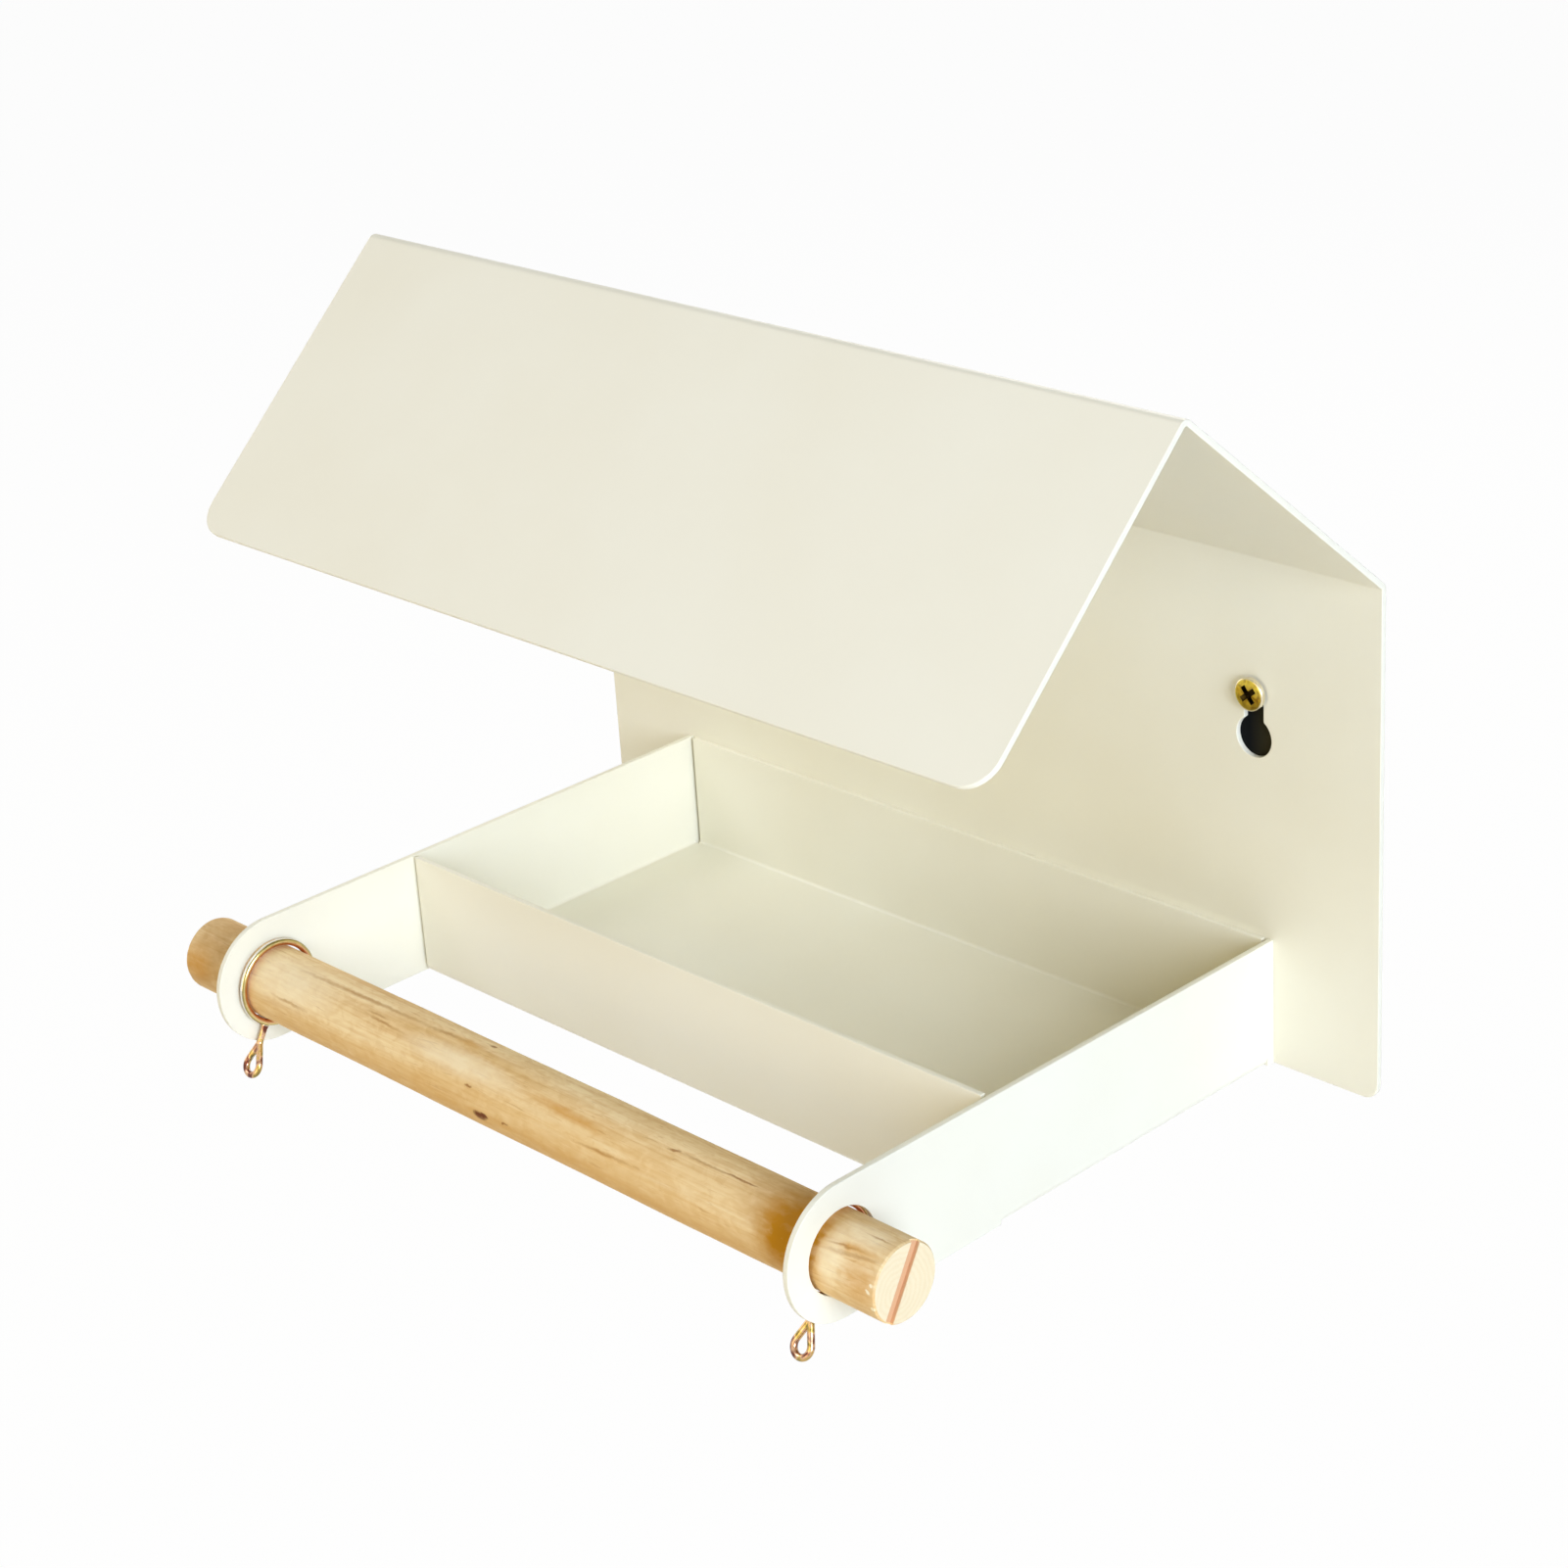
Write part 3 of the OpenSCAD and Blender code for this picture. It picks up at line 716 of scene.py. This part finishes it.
SHADE_Y = -0.1 * MM
SHADE_EDGE = 0.5 * MM
SHADE_HALF = WIDE_END + SHADE_EDGE
SHADE_FROM, SHADE_TO = KEYHOLE_X - 4 * MM, KEYHOLE_X + 5 * MM    # it turns brown outwards
shade, tree = new_material("shaded_wall")
place = add(tree, "TexCoord").outputs["Object"]
across = add(tree, "SeparateXYZ", {"Vector": place}).outputs["X"]
across = add(tree, "Math", {0: across}, operation="ABSOLUTE")
fade = add(tree, "MapRange", {"Value": across, "From Min": SHADE_FROM, "From Max": SHADE_TO})
tone = add(tree, "ValToRGB", {"Fac": fade}, [(0.2, "#0A0D10"), (0.9, "#34301E")])
dark = add(tree, "BsdfPrincipled", {"Base Color": tone, "Roughness": 0.9,
                                    "Specular IOR Level": 0.1})
add(tree, "OutputMaterial", {"Surface": dark})
bottom = -KEYHOLE_DROP - SHADE_HALF
top = SLOT_TOP + SLOT_HALF + KEYHOLE_DROP + SHADE_EDGE
for name, x in (("left_keyhole_shade", -KEYHOLE_X), ("right_keyhole_shade", KEYHOLE_X)):
    bm = bmesh.new()
    outline(bm, [(x - SHADE_HALF, SHADE_Y, bottom), (x + SHADE_HALF, SHADE_Y, bottom),
                 (x + SHADE_HALF, SHADE_Y, top), (x - SHADE_HALF, SHADE_Y, top)])
    bmesh.ops.contextual_create(bm, geom=bm.edges[:])
    panel = shown(bm, name, shade)

# Floor and backdrop
# A plain pale floor half a metre below the hanging feeder, and a white surround. The camera,
# gloss and glass see the floor nearly white, and the feeder's shadow stays on it.

FLOOR_Z = -0.55
FLOOR_SIZE = 9
SEEN_WHITE = 0.97                 # share of the floor that is seen as white
FILL = 0.04                       # strength of the warm light from all around


def seen_rays(tree):
    """1 for what the camera, gloss or glass sees, and 0 for the light that falls on things"""
    ray = add(tree, "LightPath")
    seen = add(tree, "Math", {0: ray.outputs["Is Camera Ray"], 1: ray.outputs["Is Glossy Ray"]},
               operation="MAXIMUM")
    return add(tree, "Math", {0: seen, 1: ray.outputs["Is Transmission Ray"]},
               operation="MAXIMUM")


pale, tree = new_material("pale_studio_floor")
paint = add(tree, "BsdfPrincipled", {"Base Color": rgb("#F4F2EC"), "Roughness": 0.9})
glow = add(tree, "Emission", {"Color": rgb("#FFFFFF"), "Strength": 1.0})
share = add(tree, "Math", {0: seen_rays(tree), 1: SEEN_WHITE}, operation="MULTIPLY")
mixed = add(tree, "MixShader", {0: share, 1: paint, 2: glow})
add(tree, "OutputMaterial", {"Surface": mixed})
bm = bmesh.new()
bmesh.ops.create_grid(bm, x_segments=1, y_segments=1, size=FLOOR_SIZE,
                      matrix=Matrix.Translation((0, 0, FLOOR_Z)))
studio_floor = shown(bm, "studio_floor", pale)

world = bpy.data.worlds.new("studio")
bpy.context.scene.world = world
world.use_nodes = True
tree = world.node_tree
tree.nodes.clear()
white = add(tree, "Background", {"Color": rgb("#FFFFFF"), "Strength": 1.0})
fill = add(tree, "Background", {"Color": rgb("#FFF0C8"), "Strength": FILL})
both = add(tree, "MixShader", {0: seen_rays(tree), 1: fill, 2: white})
add(tree, "OutputWorld", {"Surface": both})

# Lights
# One large cool soft box low at the right of the feeder and a little in front of it, a weaker one
# above its left, and warm ones before it and at its left, as light that comes back from wood. One
# behind it lights its rear.

FEEDER = (0, -0.06, -0.02)        # the middle of the feeder, that the lamps in front are aimed at


def soft_box(name, at, aim, size, power, tint):
    """A square lamp of this size in metres and power in watts, turned to its aim"""
    lamp = bpy.data.lights.new(name, "AREA")
    lamp.shape = "SQUARE"
    lamp.size = size
    lamp.energy = power
    lamp.color = rgb(tint)[:3]
    box = bpy.data.objects.new(name, lamp)
    box.location = at
    box.rotation_mode = "QUATERNION"
    box.rotation_quaternion = (Vector(aim) - Vector(at)).to_track_quat("-Z", "Y")
    bpy.context.scene.collection.objects.link(box)


soft_box("right_soft_box", (1.52, -0.62, 0.46), FEEDER, 0.9, 31.7, "#E1ECFF")
soft_box("left_top_soft_box", (-1.2, -0.9, 1.5), FEEDER, 1.2, 15.4, "#F6F9FF")
soft_box("front_soft_box", (0.1, -2.2, 0.3), FEEDER, 1.5, 12.4, "#FFE9B2")
soft_box("left_soft_box", (-1.8, -0.5, 0.3), FEEDER, 1.1, 4.1, "#FFE9B2")
soft_box("rear_soft_box", (-0.9, 1.6, 1.0), (0, 0, 0), 1.2, 18, "#FFFCF5")

# Camera
# From the front right and above, as in the photograph, with a slight roll. Its place, turn and
# lens come from fitting one perspective to corners of the feeder.

EYE = Vector((547.69, -568.88, 300.24)) * MM
FOCAL, SENSOR = 78.75, 36
AZIMUTH, ELEVATION, ROLL = radians(47.1428), radians(23.6983), radians(-3.7955)
back = Vector((sin(AZIMUTH) * cos(ELEVATION), -cos(AZIMUTH) * cos(ELEVATION), sin(ELEVATION)))
right = Vector((cos(AZIMUTH), sin(AZIMUTH), 0))
up = back.cross(right)
cam_x = cos(ROLL) * right + sin(ROLL) * up
cam_y = -sin(ROLL) * right + cos(ROLL) * up
lens = bpy.data.cameras.new("camera")
lens.lens = FOCAL
lens.sensor_width = SENSOR
camera = bpy.data.objects.new("camera", lens)
camera.matrix_world = Matrix.Translation(EYE) @ Matrix(
    (cam_x, cam_y, back)).transposed().to_4x4()
bpy.context.scene.collection.objects.link(camera)
bpy.context.scene.camera = camera
bpy.context.scene.view_settings.view_transform = "Standard"
